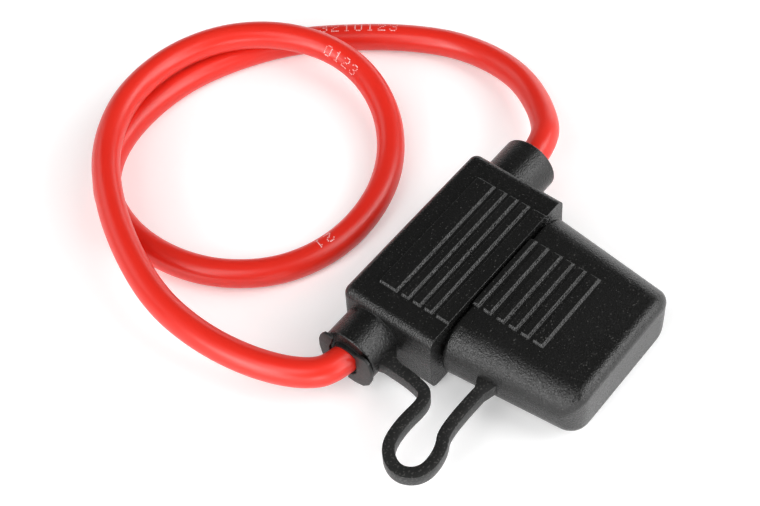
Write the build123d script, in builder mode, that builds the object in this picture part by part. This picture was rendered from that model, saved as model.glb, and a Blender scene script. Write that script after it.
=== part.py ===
from build123d import *
from math import cos, pi, radians, sin, tan
import os

os.makedirs("parts", exist_ok=True)

# Frame: X runs along the lead's two sleeves, -Y points from the body to the cap,
# Z is up, and the origin is under the middle of the body on its resting face.

# Body
body_width = 36.0
body_depth = 18.0
body_height = 14.0
body_round = 1.7
rear_round = 1.5
parting_draft = 0.15

# Grip bars on the upper and lower face
bar_rise = 0.4
bar_slope = 0.34
bar_end_slope = 0.3
bar_depth = 1.0
body_bar_reach = 13.25
# Each bar's front edge, measured back from the body's front or forward from the cap's mouth, and its width
body_bars = [(10.25, 3.55), (7.85, 1.6), (5.55, 1.6), (3.25, 1.6), (0, 2.5)]
cap_bar_reach = 8.0
cap_bars = [(1.25, 1.2), (3.6, 1.55), (6.2, 1.55), (8.5, 1.55), (10.85, 1.55), (13.55, 1.95)]

# Lead and the sleeves it leaves by
wire_radius = 2.5
copper_radius = 1.5
sleeve_radius = 5.1
sleeve_edge = 0.35
sleeve_from_rear = 6.2
sleeve_overlap = 2.0
right_sleeve_length = 7.5
left_sleeve_length = 6.0
joint_outside = 1.8
strip_inside = 3.4

# Neck that the cap slips over, with two sealing beads, a little nearer to the right end
neck_length = 8.0
neck_shift = 0.45
seal_clearance = 0.06
neck_relief = 0.3
neck_round = 0.5
bead_width = 0.9
bead_places = (2.2, 5.2)

# Cap
cap_gap = 0.4
cap_length = 23.9
shoulder = 1.4
cap_step = 0.5
tip_taper = 5.0
tip_thinning = 1.2
cap_roundness = 0.46
cap_corner = 5.0
plan_margin = 0.3
cap_tip_round = 2.0
mouth_round = 0.8
cap_wall = 1.6
cap_top_wall = 1.5
cap_seal_depth = 9.0
cavity_round = 0.4

# Fuse socket and its two contacts, for a standard blade fuse
head_width = 19.6
head_height = 5.6
seat_depth = 7.5
socket_corner = 0.6
floor_thickness = 1.2
blade_x = 4.65
blade_slot = (5.8, 1.5)
contact_width = 6.8
contact_length = 7.5
contact_stock = 0.8
contact_corner = 0.6
contact_play = 0.15
blade_gap = 0.75
lip_gap = 1.0
inner_wall = 2.2
chamber_depth = 5.8
chamber_height = 5.2
chamber_opening = 0.1
flag_x = 6.2
flag_width = 3.4
flag_overlap = 1.0
barrel_length = 6.0
bare_copper = 2.2

# Tether, a flat strap at mid height; its points are measured out from the body's left end
strap = 2.3
strap_width = 2.0
strap_start = (3.6, -4.4)
strap_bends = [
    (3.7, 0.4), (4.6, -3.3), (11.2, -2.7), (16.0, -3.6), (18.2, -7.4),
    (15.7, -11.3), (11.0, -10.9), (7.4, -8.9), (-1.6, -9.1),
]
sleeve_flare = [(4.9, -2.6), (0.4, -2.6), (0.4, -5.2), (2.2, -6.5), (2.7, -8.4), (4.5, -8.4), (4.5, -6.2), (4.9, -5.0)]
cap_flare = [(-4.0, -6.9), (-4.0, -11.0), (-2.8, -10.6), (-0.4, -9.9), (-0.4, -8.2), (-2.4, -7.4)]

# Split bush in the left sleeve, with two ears
bush_wall = 0.7
bush_depth = 3.6
bush_collar = 1.3
ear_thickness = 1.3
ear_half_span = 5.9
ear_half_height = 4.7
ear_yaw = 3.0
ear_notch = 5.0
ear_offset = 0.6

# Route of the lead round its loop, between the points where it leaves the two sleeves
lead_out = 3.2
lead_in = 4.9
lead_bends = [
    (-31.5, 7.3, 6.9), (-34.4, 15.4, 6.8), (-35.6, 24.9, 6.9), (-34.8, 34.9, 7.3),
    (-30.8, 45.4, 7.6), (-24.9, 55.6, 7.8), (-16.8, 64.7, 7.8), (-6.2, 70.1, 7.8),
    (5.1, 70.4, 7.8), (15.0, 66.4, 7.8), (22.1, 59.1, 7.6), (26.1, 50.0, 6.8),
    (26.4, 41.0, 5.3), (22.4, 32.1, 3.6), (14.8, 25.0, 2.6), (5.1, 21.0, 2.5),
    (-5.7, 20.6, 2.5), (-15.6, 24.7, 2.5), (-22.4, 32.7, 2.5), (-25.6, 42.2, 2.5),
    (-25.3, 52.5, 2.5), (-21.2, 62.0, 2.5), (-13.0, 67.4, 2.5), (-2.8, 69.2, 2.5),
    (7.8, 68.1, 2.5), (17.6, 64.0, 2.5), (26.5, 58.0, 2.5), (33.5, 50.0, 2.5),
    (39.8, 41.0, 2.6), (44.1, 30.8, 2.8), (43.6, 18.6, 3.8), (37.6, 8.6, 5.4),
]

mid_z = body_height / 2
end_x = body_width / 2
front_y = -body_depth / 2
rear_y = body_depth / 2
body_thickness = body_height - 2 * bar_rise
sleeve_y = rear_y - sleeve_from_rear
left_sleeve_end = end_x + left_sleeve_length
right_sleeve_end = end_x + right_sleeve_length
joint_x = end_x + joint_outside
strip_x = end_x - strip_inside
barrel_start = strip_x - barrel_length - bare_copper
bush_radius = wire_radius + bush_wall
neck_end = front_y - neck_length
seat_y = neck_end + seat_depth
pocket_y = seat_y + floor_thickness
chamber_front = sleeve_y - chamber_depth / 2
flag_front = pocket_y + contact_length - flag_overlap
flag_rear = sleeve_y
mouth_width = body_width - 2 * shoulder
mouth_height = body_thickness - 2 * cap_step
tip_width = mouth_width - tip_taper
tip_height = mouth_height - tip_thinning
cap_mouth_y = front_y - cap_gap
cap_tip_y = cap_mouth_y - cap_length
bore_width = mouth_width - 2 * cap_wall
bore_height = mouth_height - 2 * cap_top_wall
bore_round = cap_roundness * mouth_height - cap_top_wall
blade_places = [(-blade_x, 0), (blade_x, 0)]


def across(y, x=0):
    """Plane square to Y at the given place, drawn with X and Z."""
    return Plane(origin=(x, y, mid_z), x_dir=(1, 0, 0), z_dir=(0, -1, 0))


def cap_half_height(y):
    """Half of the cap's height at the given place, since it thins towards its tip."""
    share = (cap_mouth_y - y) / cap_length
    return (mouth_height + (tip_height - mouth_height) * share) / 2


def bar_outline(front, width, face, side, slope=bar_slope):
    """Side view of one bar, its front wall sloping; side is 1 on top and -1 below."""
    return [
        (front, mid_z + side * (face - bar_depth)),
        (front, mid_z + side * face),
        (front + slope, mid_z + side * (face + bar_rise)),
        (front + width, mid_z + side * (face + bar_rise)),
        (front + width, mid_z + side * (face - bar_depth)),
    ]


def bar_ends(found, middle, reach, face):
    """Upper edges of the bars' short ends, outside the given half height."""
    upright = [e for e in found.filter_by(Axis.Y) if abs(abs(e.center().X - middle) - reach) < 0.01]
    return [e for e in upright if abs(e.center().Z - mid_z) > face + bar_rise / 2]


def outward(points, base_y):
    """Points given as a distance out from the body's left end and a place along Y."""
    return [(-end_x - out, base_y + y) for out, y in points]


def corner_radii(points):
    """Radius for each inner corner, as large as the two runs beside it allow."""
    radii = []
    for before, here, after in zip(points, points[1:], points[2:]):
        into, out = Vector(*here) - Vector(*before), Vector(*after) - Vector(*here)
        half_turn = radians(into.get_angle(out)) / 2
        radii.append(0.45 * min(into.length, out.length) / tan(half_turn))
    return radii


# Body, one moulding with the sleeves, the neck and the pockets for the contacts
with BuildPart() as holder_body:
    with BuildSketch(across(rear_y)):
        with BuildLine():
            Polyline(
                (-end_x, 0),
                (-end_x + parting_draft, body_thickness / 2),
                (end_x - parting_draft, body_thickness / 2),
                (end_x, 0),
                (end_x - parting_draft, -body_thickness / 2),
                (-end_x + parting_draft, -body_thickness / 2),
                close=True,
            )
        make_face()
        corners = vertices().group_by(Axis.Z)[0] + vertices().group_by(Axis.Z)[-1]
        fillet(corners, body_round)
    extrude(amount=body_depth)
    fillet(faces().sort_by(Axis.Y)[-1].edges(), rear_round)
    with BuildSketch(Plane.YZ):
        for back, width in body_bars:
            # The bar at the very front is flush with the body there
            slope = bar_slope if back > 0 else 0
            for side in (1, -1):
                Polygon(*bar_outline(front_y + back, width, body_thickness / 2, side, slope), align=None)
    extrude(amount=body_bar_reach, both=True)
    chamfer(bar_ends(edges(), 0, body_bar_reach, body_thickness / 2), bar_end_slope)
    for side, sleeve_end in ((1, right_sleeve_end), (-1, left_sleeve_end)):
        with BuildSketch(Plane(origin=(side * (end_x - sleeve_overlap), sleeve_y, mid_z), z_dir=(side, 0, 0))):
            Circle(sleeve_radius)
        extrude(amount=sleeve_end - end_x + sleeve_overlap)
        fillet(faces().sort_by(Axis.X)[-1 if side > 0 else 0].edges(), sleeve_edge)
    with BuildSketch(across(front_y, neck_shift)):
        RectangleRounded(bore_width - 2 * neck_relief, bore_height - 2 * neck_relief, bore_round - neck_relief)
    extrude(amount=neck_length)
    fillet(faces().sort_by(Axis.Y)[0].edges(), neck_round)
    for bead in bead_places:
        with BuildSketch(across(neck_end + bead + bead_width / 2, neck_shift)):
            RectangleRounded(bore_width - 2 * seal_clearance, bore_height - 2 * seal_clearance, bore_round)
        extrude(amount=bead_width)
    # Socket for the fuse's head, its floor and the two slots for the blades
    with BuildSketch(across(neck_end)):
        RectangleRounded(head_width, head_height, socket_corner)
    extrude(amount=seat_depth, dir=(0, 1, 0), mode=Mode.SUBTRACT)
    with BuildSketch(across(seat_y)):
        with Locations(*blade_places):
            Rectangle(*blade_slot)
    extrude(amount=floor_thickness, dir=(0, 1, 0), mode=Mode.SUBTRACT)
    # Pockets for the two contacts
    with BuildSketch(across(pocket_y)):
        with Locations(*blade_places):
            Rectangle(contact_width + 2 * contact_play, blade_gap + 2 * contact_stock)
    extrude(amount=chamber_front - pocket_y + chamber_opening, dir=(0, 1, 0), mode=Mode.SUBTRACT)
    # Behind them, a chamber on each side for the crimp, and the bore for the lead
    with BuildSketch(Plane.XY.offset(mid_z - chamber_height / 2)):
        for side in (-1, 1):
            with Locations((side * (strip_x + inner_wall / 2) / 2, sleeve_y)):
                Rectangle(strip_x - inner_wall / 2, chamber_depth)
    extrude(amount=chamber_height, mode=Mode.SUBTRACT)
    for side in (-1, 1):
        with BuildSketch(Plane(origin=(side * (strip_x - chamber_opening), sleeve_y, mid_z), z_dir=(side, 0, 0))):
            Circle(wire_radius)
        extrude(amount=body_width, mode=Mode.SUBTRACT)
    # Wider end of the left bore, where the bush sits
    with BuildSketch(Plane(origin=(-left_sleeve_end, sleeve_y, mid_z), z_dir=(1, 0, 0))):
        Circle(bush_radius)
    extrude(amount=bush_depth, mode=Mode.SUBTRACT)
holder_body.part.label = "holder_body"
export_step(holder_body.part, "parts/holder_body.step")


# Cap, a hollow moulding that thins and narrows towards its rounded tip
with BuildPart() as cap:
    with BuildSketch(across(cap_mouth_y, neck_shift)):
        RectangleRounded(mouth_width, mouth_height, cap_roundness * mouth_height)
    with BuildSketch(across(cap_tip_y, neck_shift)):
        RectangleRounded(tip_width, tip_height, cap_roundness * tip_height)
    loft(ruled=True)
    # Plan outline, a little wider than the cap, that rounds the tip's two corners
    with BuildSketch(Plane(origin=(neck_shift, 0, 0))):
        with BuildLine():
            Polyline(
                (-mouth_width / 2 - plan_margin, cap_mouth_y),
                (mouth_width / 2 + plan_margin, cap_mouth_y),
                (tip_width / 2 + plan_margin, cap_tip_y),
                (-tip_width / 2 - plan_margin, cap_tip_y),
                close=True,
            )
        make_face()
        fillet(vertices().group_by(Axis.Y)[0], cap_corner)
    extrude(amount=body_height, mode=Mode.INTERSECT)
    tip_face = faces().sort_by(Axis.Y)[0]
    corner_walls = faces().filter_by(GeomType.CYLINDER).filter_by(lambda f: f.center().Y < cap_tip_y + cap_corner)
    rim = tip_face.edges() + [e for wall in corner_walls for e in wall.edges()]
    upright = [e for e in tip_face.edges() if abs((e @ 1).X - (e @ 0).X) < 0.01]
    rim = [e for e in rim if all((e.center() - u.center()).length > 0.01 for u in upright)]
    fillet(rim, cap_tip_round)
    fillet(faces().sort_by(Axis.Y)[-1].edges(), mouth_round)
    cap_outside = cap.part
    with BuildSketch(Plane.YZ.offset(neck_shift)):
        for forward, width in cap_bars:
            front = cap_mouth_y - forward
            for side in (1, -1):
                Polygon(*bar_outline(front, width, cap_half_height(front + width / 2), side), align=None)
    extrude(amount=cap_bar_reach, both=True)
    chamfer(bar_ends(edges(), neck_shift, cap_bar_reach, tip_height / 2), bar_end_slope)
    # Straight bore that slides over the neck, then a cavity that narrows with the outside
    with BuildSketch(across(cap_mouth_y, neck_shift)):
        RectangleRounded(bore_width, bore_height, bore_round)
    extrude(amount=cap_seal_depth, mode=Mode.SUBTRACT)
    sections = [
        (cap_mouth_y - cap_seal_depth, bore_width, bore_height),
        (cap_tip_y + cap_corner, tip_width - 2 * cap_wall, tip_height - 2 * cap_top_wall),
        (cap_tip_y + cap_wall, tip_width - cap_corner - 2 * cap_wall, tip_height - 3 * cap_top_wall),
    ]
    for near, far in zip(sections, sections[1:]):
        for y, width, height in (near, far):
            with BuildSketch(across(y, neck_shift)):
                RectangleRounded(width, height, cavity_round * height)
        loft(ruled=True, mode=Mode.SUBTRACT)
cap.part.label = "cap"
export_step(cap.part, "parts/cap.step")


# Tether, one strap bent in a flat loop, with a flared root at each end
strap_points = outward([strap_start], sleeve_y) + outward(strap_bends, front_y)
with BuildPart() as tether:
    with BuildSketch(Plane.XY.offset(mid_z - strap / 2)):
        with BuildLine() as strap_line:
            FilletPolyline(*strap_points, radius=corner_radii(strap_points))
        trace(strap_line.line, line_width=strap_width)
        Polygon(*outward(sleeve_flare, sleeve_y), align=None)
        Polygon(*outward(cap_flare, front_y), align=None)
    extrude(amount=strap)
    # The roots end on the sleeve's round wall and on the cap's side
    with BuildSketch(Plane.YZ.offset(-body_width)):
        with Locations((sleeve_y, mid_z)):
            Circle(sleeve_radius)
    extrude(amount=body_width, mode=Mode.SUBTRACT)
    add(cap_outside, mode=Mode.SUBTRACT)
tether.part.label = "tether"
export_step(tether.part, "parts/tether.step")


# Split bush round the lead in the left sleeve, its two ears outside the sleeve's end
with BuildPart() as sleeve_bush:
    with BuildSketch(Plane(origin=(bush_depth - left_sleeve_end, sleeve_y, mid_z), z_dir=(-1, 0, 0))):
        Circle(bush_radius)
    extrude(amount=bush_depth + bush_collar)
    lean = Vector(sin(radians(ear_yaw)), cos(radians(ear_yaw)), 0)
    outward = Vector(-cos(radians(ear_yaw)), sin(radians(ear_yaw)), 0)
    ear_centre = (-left_sleeve_end - ear_offset, sleeve_y, mid_z)
    with BuildSketch(Plane(origin=ear_centre, x_dir=lean, z_dir=outward)):
        Ellipse(ear_half_span, ear_half_height)
        Rectangle(ear_notch, 2 * ear_half_span, mode=Mode.SUBTRACT)
    extrude(amount=ear_thickness)
    with BuildSketch(Plane.YZ.offset(-body_width)):
        with Locations((sleeve_y, mid_z)):
            Circle(wire_radius)
    extrude(amount=body_width, mode=Mode.SUBTRACT)
sleeve_bush.part.label = "sleeve_bush"
export_step(sleeve_bush.part, "parts/sleeve_bush.step")


# Lead round its loop, straight runs joined by arcs
lead_start = [(-joint_x, sleeve_y, mid_z), (-left_sleeve_end - lead_out, sleeve_y, mid_z)]
lead_finish = [(right_sleeve_end + lead_in, sleeve_y, mid_z), (joint_x, sleeve_y, mid_z)]
lead_route = lead_start + lead_bends + lead_finish
lead_radii = corner_radii(lead_route)
with BuildPart() as wire_loop:
    with BuildLine() as lead_line:
        FilletPolyline(*lead_route, radius=lead_radii)
    with BuildSketch(Plane(origin=lead_route[0], z_dir=(-1, 0, 0))):
        Circle(wire_radius)
    sweep(path=lead_line.line, transition=Transition.RIGHT)
wire_loop.part.label = "wire_loop"
export_step(wire_loop.part, "parts/wire_loop.step")
lead_length = sum(edge.length for edge in lead_line.line.edges())
print("lead radii", [round(r, 1) for r in lead_radii])
print("lead length", round(lead_length, 1))
print("volume over section x length", round(wire_loop.part.volume / (lead_length * pi * wire_radius**2), 4))


# On each side: the end of the insulation, the bared copper and the contact crimped on it
for side, name in ((-1, "left"), (1, "right")):
    with BuildPart() as wire_tail:
        with BuildSketch(Plane(origin=(side * strip_x, sleeve_y, mid_z), z_dir=(side, 0, 0))):
            Circle(wire_radius)
        extrude(amount=joint_x - strip_x)
    wire_tail.part.label = "wire_tail_" + name
    export_step(wire_tail.part, "parts/wire_tail_" + name + ".step")

    with BuildPart() as copper_end:
        with BuildSketch(Plane(origin=(side * barrel_start, sleeve_y, mid_z), z_dir=(side, 0, 0))):
            Circle(copper_radius)
        extrude(amount=strip_x - barrel_start)
    copper_end.part.label = "copper_end_" + name
    export_step(copper_end.part, "parts/copper_end_" + name + ".step")

    with BuildPart() as contact:
        # Blade grip, a channel with its two lips rolled over
        with BuildSketch(across(pocket_y)):
            with Locations((side * blade_x, 0)):
                RectangleRounded(contact_width, blade_gap + 2 * contact_stock, contact_corner)
                Rectangle(contact_width - 2 * contact_stock, blade_gap, mode=Mode.SUBTRACT)
                with Locations((0, blade_gap)):
                    Rectangle(lip_gap, 2 * blade_gap, mode=Mode.SUBTRACT)
        extrude(amount=contact_length, dir=(0, 1, 0))
        # Flag that leads from the channel's base to the crimp
        with BuildSketch(Plane.XY.offset(mid_z - blade_gap / 2 - contact_stock)):
            with Locations((side * flag_x, (flag_rear + flag_front) / 2)):
                Rectangle(flag_width, flag_rear - flag_front)
        extrude(amount=contact_stock)
        # Crimp barrel round the copper
        with BuildSketch(Plane(origin=(side * barrel_start, sleeve_y, mid_z), z_dir=(side, 0, 0))):
            Circle(copper_radius + contact_stock)
        extrude(amount=barrel_length)
        with BuildSketch(Plane(origin=(side * barrel_start, sleeve_y, mid_z), z_dir=(side, 0, 0))):
            Circle(copper_radius)
        extrude(amount=barrel_length, both=True, mode=Mode.SUBTRACT)
    contact.part.label = "contact_" + name
    export_step(contact.part, "parts/contact_" + name + ".step")
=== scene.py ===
from math import cos, radians, sin
import bpy
import bmesh
from mathutils import Matrix, Vector


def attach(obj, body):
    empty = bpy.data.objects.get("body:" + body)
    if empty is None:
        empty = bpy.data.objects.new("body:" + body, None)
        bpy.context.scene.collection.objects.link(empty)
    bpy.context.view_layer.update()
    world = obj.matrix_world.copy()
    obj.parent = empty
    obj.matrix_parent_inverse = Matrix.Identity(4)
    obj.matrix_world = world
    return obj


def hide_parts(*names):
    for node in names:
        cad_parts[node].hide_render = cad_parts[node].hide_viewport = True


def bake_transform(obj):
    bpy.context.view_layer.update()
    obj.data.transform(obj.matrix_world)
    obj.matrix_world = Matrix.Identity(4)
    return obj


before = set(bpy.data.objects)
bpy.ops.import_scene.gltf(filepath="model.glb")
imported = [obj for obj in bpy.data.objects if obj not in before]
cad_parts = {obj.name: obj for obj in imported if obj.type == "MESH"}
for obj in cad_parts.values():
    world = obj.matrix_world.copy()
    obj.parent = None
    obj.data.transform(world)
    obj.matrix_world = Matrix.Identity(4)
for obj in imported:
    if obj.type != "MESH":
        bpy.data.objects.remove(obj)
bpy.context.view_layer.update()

mm = 0.001
samePlace = 1e-7  # points closer than this count as level, or as one point
sortLine = Vector((1.0, 0.7123, 0.3317))  # a skew direction, to sort a mesh along
print("stage: frame loaded")


# shader graphs

def plug(tree, target, value):
    if isinstance(value, Wire):
        tree.links.new(value.socket, target)
    else:
        target.default_value = value


class Wire:  # a shader socket that can stand in a sum
    def __init__(self, tree, socket):
        self.tree = tree
        self.socket = socket

    def math(self, operation, first, second):
        node = self.tree.nodes.new("ShaderNodeMath")
        node.operation = operation
        plug(self.tree, node.inputs[0], first)
        plug(self.tree, node.inputs[1], second)
        return Wire(self.tree, node.outputs[0])

    def __add__(self, other):
        return self.math("ADD", self, other)

    def __sub__(self, other):
        return self.math("SUBTRACT", self, other)

    def __rsub__(self, other):
        return self.math("SUBTRACT", other, self)

    def __mul__(self, other):
        return self.math("MULTIPLY", self, other)

    __radd__ = __add__
    __rmul__ = __mul__


class Graph:
    def __init__(self, owner):
        owner.use_nodes = True
        self.tree = owner.node_tree
        self.tree.nodes.clear()

    def add(self, kind, settings=None, sockets=None, out=0):
        node = self.tree.nodes.new("ShaderNode" + kind)
        for name, value in (settings or {}).items():
            if name == "stops":
                for element, (place, shade) in zip(node.color_ramp.elements, value):
                    element.position = place
                    element.color = (shade, shade, shade, 1)
            else:
                setattr(node, name, value)
        for name, value in (sockets or {}).items():
            plug(self.tree, node.inputs[name], value)
        return Wire(self.tree, node.outputs[out]) if node.outputs else None

    def noise(self, place, scale, detail=2.0, roughness=0.5, warp=0.0):
        return self.add("TexNoise", None, {
            "Vector": place, "Scale": scale, "Detail": detail, "Roughness": roughness, "Distortion": warp})

    def ramp(self, value, *stops):  # two stops, each a place and a grey
        return self.add("ValToRGB", {"stops": stops}, {"Fac": value})

    def tint(self, share, first, second):  # a Mix node's colours are its sockets 6, 7 and 2
        return self.add("Mix", {"data_type": "RGBA"}, {0: share, 6: first, 7: second}, 2)

    def finish(self, surface, kind="OutputMaterial"):
        self.add(kind, None, {"Surface": surface})


# black moulding

mouldings = {
    "body": {"tone": 0.0060, "gloss": 0.30, "grain": 3700.0, "bite": 0.125,
             "dust": 0.11, "round": 0.16, "speck": 0.745},
    "cap": {"tone": 0.0060, "gloss": 0.30, "grain": 3700.0, "bite": 0.125,
            "dust": 0.11, "round": 0.16, "speck": 0.745},
    "strap": {"tone": 0.0085, "gloss": 0.44, "grain": 3700.0, "bite": 0.05,
              "dust": 0.10, "round": 0.06, "speck": 0.64},
    "bush": {"tone": 0.0060, "gloss": 0.42, "grain": 2400.0, "bite": 0.02,
             "dust": 0.06, "round": 0.06, "speck": 0.72},
}

# what all four share
mouldingPattern = {
    "cloud": 90.0, "cloudRough": 0.08, "grainRough": 0.24, "ior": 1.49,
    "speckGrain": 3300.0, "speckEdge": 0.04, "dustColour": (0.42, 0.41, 0.39, 1),
    "streak": 260.0, "streakStops": ((0.62, 0.0), (0.74, 1.0)), "streakShare": 0.12,
    "calmStops": ((0.90, 1.0), (0.99, 0.42)),
}


def blackMoulding(name):
    look = mouldings[name]
    pattern = mouldingPattern
    material = bpy.data.materials.new(name + "Moulding")
    graph = Graph(material)
    place = graph.add("TexCoord", None, None, "Object")
    cloudy = graph.noise(place, pattern["cloud"], detail=3.0)
    grain = graph.noise(place, look["grain"], detail=1.5)
    speckNoise = graph.noise(place, pattern["speckGrain"], detail=0.0, roughness=0.4)
    specks = graph.ramp(speckNoise, (look["speck"], 0.0), (look["speck"] + pattern["speckEdge"], 1.0))
    streakNoise = graph.noise(place, pattern["streak"], detail=4.0, roughness=0.7, warp=0.6)
    streaks = graph.ramp(streakNoise, *pattern["streakStops"])
    tone = look["tone"]
    deep = (tone * 0.75, tone * 0.75, tone * 0.73, 1)
    pale = (tone * 1.25, tone * 1.25, tone * 1.2, 1)
    dust = specks * look["dust"] + streaks * look["dust"] * pattern["streakShare"]
    dusty = graph.tint(dust, graph.tint(cloudy, deep, pale), pattern["dustColour"])
    rough = look["gloss"] + (cloudy - 0.5) * pattern["cloudRough"] + (grain - 0.5) * pattern["grainRough"]
    rounded = graph.add("Bevel", {"samples": 8}, {"Radius": look["round"] * mm})
    facing = graph.add("SeparateXYZ", None, {"Vector": graph.add("TexCoord", None, None, "Normal")}, "Z")
    calm = graph.ramp(facing, *pattern["calmStops"])  # flat tops are worn smoother
    normal = graph.add("Bump", None, {
        "Strength": 1.0, "Distance": look["bite"] * mm, "Height": grain * calm, "Normal": rounded})
    graph.finish(graph.add("BsdfPrincipled", None, {
        "Base Color": dusty, "Roughness": rough, "Normal": normal, "IOR": pattern["ior"]}))
    return material


# red insulation

insulation = {
    "deep": (0.70, 0.018, 0.009, 1), "bright": (0.74, 0.024, 0.012, 1),
    "gloss": 0.33, "cloud": 120.0, "cloudRough": 0.06, "ripple": 300.0, "bite": 0.02, "ior": 1.52,
}


def redInsulation():
    material = bpy.data.materials.new("redInsulation")
    graph = Graph(material)
    place = graph.add("TexCoord", None, None, "Object")
    cloudy = graph.noise(place, insulation["cloud"], detail=3.0, roughness=0.6)
    ripple = graph.noise(place, insulation["ripple"], detail=1.0)
    colour = graph.tint(cloudy, insulation["deep"], insulation["bright"])
    rough = insulation["gloss"] + (cloudy - 0.5) * insulation["cloudRough"]
    normal = graph.add("Bump", None, {
        "Strength": 1.0, "Distance": insulation["bite"] * mm, "Height": ripple})
    graph.finish(graph.add("BsdfPrincipled", None, {
        "Base Color": colour, "Roughness": rough, "Normal": normal, "IOR": insulation["ior"]}))
    return material


# print on the lead

ink = {
    "full": (0.86, 0.62, 0.62, 1), "worn": (0.86, 0.22, 0.20, 1), "gloss": 0.5,
    "wear": 900.0, "wearStops": ((0.42, 0.0), (0.62, 1.0)), "wearRough": 0.1,
}


def printInk():
    material = bpy.data.materials.new("printInk")
    graph = Graph(material)
    place = graph.add("TexCoord", None, None, "Object")
    wear = graph.ramp(graph.noise(place, ink["wear"], detail=3.0, roughness=0.6), *ink["wearStops"])
    graph.finish(graph.add("BsdfPrincipled", None, {
        "Base Color": graph.tint(wear, ink["full"], ink["worn"]),
        "Roughness": ink["gloss"] + wear * ink["wearRough"]}))
    return material


# metals

metals = {
    "copper": {"dark": (0.55, 0.26, 0.14, 1), "light": (0.83, 0.47, 0.30, 1), "polish": 0.24, "twist": 900.0},
    "tin": {"dark": (0.52, 0.50, 0.46, 1), "light": (0.78, 0.76, 0.71, 1), "polish": 0.30, "twist": 0.0},
}

# what both share
metalPattern = {
    "cloud": 500.0, "cloudRough": 0.14, "fine": 4200.0, "fineHeight": 0.4, "bite": 0.05,
    "twistTurn": 62.0, "twistHeight": 1.6, "twistWarp": 0.4,
}


def metal(name):
    look = metals[name]
    pattern = metalPattern
    material = bpy.data.materials.new(name + "Metal")
    graph = Graph(material)
    place = graph.add("TexCoord", None, None, "Object")
    cloudy = graph.noise(place, pattern["cloud"], detail=4.0, roughness=0.6)
    relief = graph.noise(place, pattern["fine"]) * pattern["fineHeight"]
    if look["twist"]:
        lay = graph.add("Mapping", None, {
            "Vector": place, "Rotation": (0.0, 0.0, radians(pattern["twistTurn"]))})
        strands = graph.add("TexWave", {"bands_direction": "X"}, {
            "Vector": lay, "Scale": look["twist"], "Distortion": pattern["twistWarp"]}, "Fac")
        relief = relief + strands * pattern["twistHeight"]
    normal = graph.add("Bump", None, {"Strength": 1.0, "Distance": pattern["bite"] * mm, "Height": relief})
    graph.finish(graph.add("BsdfPrincipled", None, {
        "Base Color": graph.tint(cloudy, look["dark"], look["light"]), "Metallic": 1.0,
        "Roughness": look["polish"] + cloudy * pattern["cloudRough"], "Normal": normal}))
    return material


finishes = {name: blackMoulding(name) for name in mouldings}
finishes["insulation"] = redInsulation()
finishes["copper"] = metal("copper")
finishes["tin"] = metal("tin")
finishes["ink"] = printInk()
print("stage: finishes")


# carried-over parts

carried = {
    "holder_body": "body", "cap": "cap",
    "wire_tail_left": "insulation", "wire_tail_right": "insulation",
    "copper_end_left": "copper", "copper_end_right": "copper",
    "contact_left": "tin", "contact_right": "tin",
}
for nodeName, finishName in carried.items():
    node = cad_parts[nodeName]
    for materialSlot in node.material_slots:
        materialSlot.material = finishes[finishName]
print("stage: carried-over parts")


# helpers for new pieces

def publish(mesh, name, finishName, smooth=40.0):
    piece = bpy.data.objects.new(name, mesh)
    bpy.context.scene.collection.objects.link(piece)
    mesh.materials.clear()
    mesh.materials.append(finishes[finishName])
    mesh.shade_smooth()
    mesh.set_sharp_from_angle(angle=radians(smooth))
    return piece


def meshFrom(bm, name):
    bmesh.ops.recalc_face_normals(bm, faces=bm.faces)
    # spin, extrude and bevel leave an order that changes from run to run
    bm.verts.sort(key=lambda vertex: vertex.co.dot(sortLine))
    bm.faces.sort(key=lambda part: part.calc_center_median().dot(sortLine))
    mesh = bpy.data.meshes.new(name)
    bm.to_mesh(mesh)
    bm.free()
    return mesh


def plate(corners, step, edge, segments):  # an outline pushed out along step, its rims rounded
    bm = bmesh.new()
    face = bm.faces.new([bm.verts.new(corner) for corner in corners])
    grown = bmesh.ops.extrude_face_region(bm, geom=[face])
    far = [part for part in grown["geom"] if isinstance(part, bmesh.types.BMVert)]
    bmesh.ops.translate(bm, verts=far, vec=step)
    way = Vector(step).normalized()
    rims = [part for part in bm.edges
            if abs((part.verts[0].co - part.verts[1].co).dot(way)) < samePlace]
    bmesh.ops.bevel(bm, geom=rims, offset=edge, segments=segments, profile=0.5,
                    affect="EDGES", material=-1)
    return bm


def join(bm, part):  # puts a finished bmesh into another
    mesh = meshFrom(part, "part")
    bm.from_mesh(mesh)
    bpy.data.meshes.remove(mesh)


def routeCurve(name, points, resolution):
    curve = bpy.data.curves.new(name, "CURVE")
    curve.dimensions = "3D"
    spline = curve.splines.new("NURBS")
    spline.points.add(len(points) - 1)
    for point, place in zip(spline.points, points):
        point.co = (*place, 1.0)
    spline.order_u = 3
    spline.use_endpoint_u = True
    spline.resolution_u = resolution
    curve.resolution_u = resolution
    return curve


def routePlaces(name, points, resolution):  # the points that a route really goes through
    line = bpy.data.objects.new(name, routeCurve(name, points, resolution))
    bare = bpy.data.meshes.new_from_object(line)
    places = [vertex.co.copy() for vertex in bare.vertices]
    bpy.data.objects.remove(line)
    return places


# lead

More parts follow.
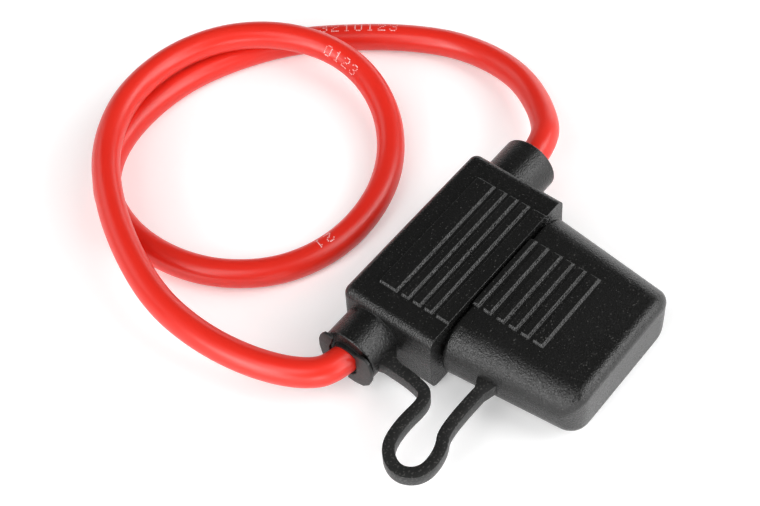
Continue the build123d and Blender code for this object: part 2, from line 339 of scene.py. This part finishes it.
lead = {
    "radius": 0.0025,
    "length": 0.3588,
    "spanSteps": 14,
    "roundSteps": 10,
    "points": [
        (-0.0198, 0.0028, 0.0070), (-0.0272, 0.0028, 0.0070), (-0.0315, 0.0073, 0.0069),
        (-0.0344, 0.0154, 0.0068), (-0.0356, 0.0249, 0.0069), (-0.0348, 0.0349, 0.0073),
        (-0.0308, 0.0454, 0.0076), (-0.0249, 0.0556, 0.0078), (-0.0168, 0.0647, 0.0078),
        (-0.0062, 0.0701, 0.0078), (0.0051, 0.0704, 0.0078), (0.0150, 0.0664, 0.0078),
        (0.0221, 0.0591, 0.0076), (0.0261, 0.0500, 0.0068), (0.0264, 0.0410, 0.0053),
        (0.0224, 0.0321, 0.0036), (0.0148, 0.0250, 0.0026), (0.0051, 0.0210, 0.0025),
        (-0.0057, 0.0206, 0.0025), (-0.0156, 0.0247, 0.0025), (-0.0224, 0.0327, 0.0025),
        (-0.0256, 0.0422, 0.0025), (-0.0253, 0.0525, 0.0025), (-0.0212, 0.0620, 0.0025),
        (-0.0130, 0.0674, 0.0025), (-0.0028, 0.0692, 0.0025), (0.0078, 0.0681, 0.0025),
        (0.0176, 0.0640, 0.0025), (0.0265, 0.0580, 0.0025), (0.0335, 0.0500, 0.0025),
        (0.0398, 0.0410, 0.0026), (0.0441, 0.0308, 0.0028), (0.0436, 0.0186, 0.0038),
        (0.0376, 0.0086, 0.0054), (0.0304, 0.0028, 0.0070), (0.0198, 0.0028, 0.0070),
    ],
}

leadCurve = routeCurve("leadLoop", lead["points"], lead["spanSteps"])
leadCurve.bevel_depth = lead["radius"]
leadCurve.bevel_resolution = lead["roundSteps"]
leadCurve.use_fill_caps = True
leadCurve.materials.append(finishes["insulation"])
leadLoop = bpy.data.objects.new("leadLoop", leadCurve)
bpy.context.scene.collection.objects.link(leadLoop)
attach(leadLoop, "base")
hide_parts("wire_loop")


# digits printed on the lead in dots

marks = {
    "dot": 0.00013, "pitch": 0.00030, "gap": 0.0007, "lift": 0.000008, "columns": 5, "middleRow": 3,
    "digits": {
        "0": ("01110", "10001", "10001", "10001", "10001", "10001", "01110"),
        "1": ("00100", "01100", "00100", "00100", "00100", "00100", "01110"),
        "2": ("01110", "10001", "00001", "00110", "01000", "10000", "11111"),
        "3": ("01110", "10001", "00001", "00110", "00001", "10001", "01110"),
    },
    # text, share of the lead's length where it starts, turn round the lead from its top
    "rows": [("0 1 2 3", 0.366, 44.0), ("2 1", 0.503, 8.0), ("3 2 1 0 1 2 3", 0.803, -8.0)],
}


def marksMesh():
    places = routePlaces("leadLine", lead["points"], lead["spanSteps"])
    reach = [0.0]
    for before, after in zip(places, places[1:]):
        reach.append(reach[-1] + (after - before).length)

    def onLead(distance, turn):
        step = next(i for i, value in enumerate(reach) if value > distance)
        before, after = places[step - 1], places[step]
        along = (after - before).normalized()
        place = before.lerp(after, (distance - reach[step - 1]) / (reach[step] - reach[step - 1]))
        aside = along.cross(Vector((0, 0, 1))).normalized()
        outward = Matrix.Rotation(turn, 3, along) @ aside.cross(along).normalized()
        return place, outward

    bm = bmesh.new()
    for text, share, turn in marks["rows"]:
        start = share * reach[-1]
        for character in text:
            if character == " ":
                start += marks["gap"]
                continue
            dots = [(row, column) for row, line in enumerate(marks["digits"][character])
                    for column, dot in enumerate(line) if dot == "1"]
            for row, column in dots:
                swing = radians(turn) + (row - marks["middleRow"]) * marks["pitch"] / lead["radius"]
                place, outward = onLead(start + column * marks["pitch"], swing)
                seat = outward.to_track_quat("Z", "Y").to_matrix().to_4x4()
                spot = place + outward * (lead["radius"] + marks["lift"])
                bmesh.ops.create_circle(bm, cap_ends=True, segments=8, radius=marks["dot"],
                                        matrix=Matrix.Translation(spot) @ seat)
            start += marks["columns"] * marks["pitch"]
    mesh = bpy.data.meshes.new("leadMarks")
    bm.to_mesh(mesh)
    bm.free()
    return mesh


leadMarks = publish(marksMesh(), "leadMarks", "ink")
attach(leadMarks, "base")
print("stage: lead")


# tether

tether = {
    "midHeight": 0.00693, "tall": 0.00244, "wide": 0.0020, "edge": 0.00010,
    "rootProud": 0.00002, "spanSteps": 10,
    "points": [
        (-0.0216, -0.0002), (-0.0216, -0.0040), (-0.0217, -0.0086), (-0.0226, -0.0123), (-0.0292, -0.0117),
        (-0.0340, -0.0126), (-0.0362, -0.0164), (-0.0340, -0.0198), (-0.0292, -0.0197), (-0.0256, -0.0175),
        (-0.0148, -0.0181),
    ],
    "sleeveRoot": [(-0.0229, -0.0008), (-0.0184, -0.0008), (-0.0184, -0.0024), (-0.0202, -0.0037),
                   (-0.0207, -0.0056), (-0.0225, -0.0056), (-0.0225, -0.0034), (-0.0229, -0.0022)],
    "capRoot": [(-0.0143, -0.0160), (-0.0143, -0.0199), (-0.0152, -0.0196), (-0.0176, -0.0189),
                (-0.0176, -0.0172), (-0.0154, -0.0162)],
}


def strapMesh():
    points = [(x, y, tether["midHeight"]) for x, y in tether["points"]]
    places = routePlaces("strapLine", points, tether["spanSteps"])
    half, tall = tether["wide"] / 2, tether["tall"]
    bm = bmesh.new()
    lastPair = None
    for before, here, after in zip([places[0]] + places, places, places[1:] + [places[-1]]):
        along = (after - before).normalized()
        aside = Vector((-along.y, along.x, 0)) * half
        low = Vector((0, 0, tall / 2))
        pair = (bm.verts.new(here + aside - low), bm.verts.new(here - aside - low))
        if lastPair:
            bm.faces.new((lastPair[0], lastPair[1], pair[1], pair[0]))
        lastPair = pair
    grown = bmesh.ops.extrude_face_region(bm, geom=list(bm.faces))
    upper = [part for part in grown["geom"] if isinstance(part, bmesh.types.BMVert)]
    bmesh.ops.translate(bm, verts=upper, vec=(0, 0, tall))
    bmesh.ops.recalc_face_normals(bm, faces=bm.faces)
    rims = [part for part in bm.edges if len(part.link_faces) == 2 and part.calc_face_angle() > radians(60)
            and abs(part.verts[0].co.z - part.verts[1].co.z) < samePlace]
    bmesh.ops.bevel(bm, geom=rims, offset=tether["edge"], segments=2, profile=0.5,
                    affect="EDGES", material=-1)
    # a root at each end stands a hair proud of the strap
    foot = tether["midHeight"] - tall / 2 - tether["rootProud"]
    thick = tall + 2 * tether["rootProud"]
    for outline in (tether["sleeveRoot"], tether["capRoot"]):
        join(bm, plate([(x, y, foot) for x, y in outline], (0, 0, thick), tether["edge"], 2))
    return meshFrom(bm, "tetherStrap")


tetherStrap = publish(strapMesh(), "tetherStrap", "strap")
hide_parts("tether")
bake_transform(tetherStrap)
print("stage: tether")


# split bush

bush = {
    "axisY": 0.0028, "axisZ": 0.0070, "sleeveEnd": -0.0240, "bore": 0.00251, "outer": 0.0032,
    "collar": 0.0029, "collarInEar": 0.0001, "depth": 0.0036, "steps": 48,
    "earStart": -0.0246, "earThick": 0.0006, "edge": 0.00014,
    # each ear's outline in mm, aside and up from the lead's axis
    "ears": [
        [(-2.35, 3.80), (-3.25, 3.95), (-4.30, 4.05), (-5.10, 3.50), (-5.50, 1.40),
         (-5.50, -0.70), (-4.80, -2.70), (-3.60, -4.05), (-1.80, -4.55), (-0.20, -4.50),
         (-0.60, -3.00), (-1.70, -2.30), (-2.35, -1.20)],
        [(2.15, 4.40), (3.00, 4.75), (3.95, 4.50), (4.75, 3.40), (5.20, 2.00),
         (5.25, 0.20), (4.90, -2.00), (4.00, -3.40), (2.60, -4.30), (2.20, -3.30),
         (3.00, -2.20), (3.00, 1.60), (2.45, 2.90)],
    ],
}


def bushMesh():
    bm = bmesh.new()
    # collar, a ring spun round the lead's axis
    inner = bush["sleeveEnd"] + bush["depth"]
    tip = bush["earStart"] - bush["collarInEar"]
    ring = [(inner, bush["bore"]), (inner, bush["outer"]),
            (bush["sleeveEnd"], bush["outer"]), (bush["sleeveEnd"], bush["collar"]),
            (tip, bush["collar"]), (tip, bush["bore"])]
    corners = [bm.verts.new((x, bush["axisY"] + r, bush["axisZ"])) for x, r in ring]
    edges = [bm.edges.new((a, b)) for a, b in zip(corners, corners[1:] + corners[:1])]
    bmesh.ops.spin(bm, geom=corners + edges, cent=(0, bush["axisY"], bush["axisZ"]), axis=(1, 0, 0),
                   angle=radians(360), steps=bush["steps"], use_merge=True, use_duplicate=False)
    bmesh.ops.remove_doubles(bm, verts=bm.verts, dist=samePlace)
    # two ears, one on each side of the lead
    for outline in bush["ears"]:
        corners = [(bush["earStart"], bush["axisY"] + y * mm, bush["axisZ"] + z * mm) for y, z in outline]
        join(bm, plate(corners, (-bush["earThick"], 0, 0), bush["edge"], 3))
    return meshFrom(bm, "splitBush")


splitBush = publish(bushMesh(), "splitBush", "bush")
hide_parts("sleeve_bush")
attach(splitBush, "base")
print("stage: split bush")


# floor, world and lamps

studio = {
    "floorHalf": 0.5, "floorShade": 0.92, "glow": 0.24, "world": 0.065,
    "backdropStops": ((0.12, 1.0), (0.30, 0.0)), "far": 0.62, "target": (0.0, 0.015, 0.0),
    # name, degrees round the object, degrees over the floor, width, height, watts
    "lamps": [
        ("frontLow", 272.0, 10.0, 0.32, 0.28, 1.1),
        ("frontBox", 288.0, 32.0, 0.28, 0.28, 1.35),
        ("rightBox", 324.0, 32.0, 0.28, 0.28, 1.15),
        ("rightHigh", 300.0, 58.0, 0.30, 0.28, 0.85),
        ("cornerLow", 226.0, 9.0, 0.28, 0.24, 1.0),
        ("leftLow", 184.0, 10.0, 0.34, 0.28, 1.0),
        ("leftBox", 172.0, 30.0, 0.26, 0.26, 1.5),
        ("leftHigh", 180.0, 58.0, 0.28, 0.28, 0.75),
        ("backBox", 106.0, 32.0, 0.50, 0.28, 0.65),
        ("rightLow", 15.0, 10.0, 0.40, 0.28, 0.45),
    ],
}


def seenRays(graph):  # 1 for rays from the camera, off gloss or through glass
    rays = ("Is Camera Ray", "Is Glossy Ray", "Is Transmission Ray")
    fromCamera, offGloss, throughGlass = [graph.add("LightPath", None, None, ray) for ray in rays]
    return fromCamera + offGloss + throughGlass


floorBm = bmesh.new()
bmesh.ops.create_grid(floorBm, x_segments=1, y_segments=1, size=studio["floorHalf"])
floorMesh = bpy.data.meshes.new("floor")
floorBm.to_mesh(floorMesh)
floorBm.free()
floor = bpy.data.objects.new("floor", floorMesh)
bpy.context.scene.collection.objects.link(floor)
floorMaterial = bpy.data.materials.new("floorPaper")
graph = Graph(floorMaterial)
paper = graph.add("BsdfDiffuse", None, {"Color": (studio["floorShade"],) * 3 + (1,)})
glow = graph.add("Emission", None, {
    "Color": (1, 1, 1, 1), "Strength": seenRays(graph) * studio["glow"]})
graph.finish(graph.add("AddShader", None, {0: paper, 1: glow}))
floorMesh.materials.append(floorMaterial)

world = bpy.data.worlds.new("studioWorld")
bpy.context.scene.world = world
graph = Graph(world)
height = graph.add("SeparateXYZ", None, {"Vector": graph.add("TexCoord", None, None, "Generated")}, "Z")
# the backdrop is white from below the horizon to a little above it
skirting = graph.ramp(height, *studio["backdropStops"])
plain = graph.add("Background", None, {"Color": (1, 1, 1, 1), "Strength": studio["world"]})
white = graph.add("Background", None, {"Color": (1, 1, 1, 1), "Strength": 1.0})
backdrop = graph.add("MixShader", None, {0: seenRays(graph) * skirting, 1: plain, 2: white})
graph.finish(backdrop, "OutputWorld")

target = Vector(studio["target"])
for name, around, over, width, tall, watts in studio["lamps"]:
    lampData = bpy.data.lights.new(name, "AREA")
    lampData.shape = "RECTANGLE"
    lampData.size, lampData.size_y = width, tall
    lampData.energy = watts
    lamp = bpy.data.objects.new(name, lampData)
    bpy.context.scene.collection.objects.link(lamp)
    aim = Vector((cos(radians(over)) * cos(radians(around)), cos(radians(over)) * sin(radians(around)),
                  sin(radians(over))))
    lamp.matrix_world = (Matrix.Translation(target + aim * studio["far"])
                         @ aim.to_track_quat("Z", "Y").to_matrix().to_4x4())
print("stage: studio")


# camera

view = {"azimuth": -47.131, "elevation": 53.607, "roll": -5.163, "target": (-0.001199, 0.015250, 0.0),
        "distance": 0.27714, "lens": 76.26, "sensor": 36.0, "nearest": 0.01, "nudge": (0.0, -0.00017, 0.0)}
back = (Matrix.Rotation(radians(view["azimuth"]), 3, "Z")
        @ Matrix.Rotation(radians(-view["elevation"]), 3, "X") @ Vector((0, -1, 0)))
cameraData = bpy.data.cameras.new("camera")
cameraData.lens = view["lens"]
cameraData.sensor_width = view["sensor"]
cameraData.clip_start = view["nearest"]
camera = bpy.data.objects.new("camera", cameraData)
bpy.context.scene.collection.objects.link(camera)
camera.matrix_world = (Matrix.Translation(Vector(view["target"]) + back * view["distance"])
                       @ back.to_track_quat("Z", "Y").to_matrix().to_4x4()
                       @ Matrix.Rotation(radians(view["roll"]), 4, "Z") @ Matrix.Translation(view["nudge"]))
bpy.context.scene.camera = camera
bpy.context.scene.view_settings.view_transform = "Standard"
print("stage: camera", [round(value, 4) for value in back])
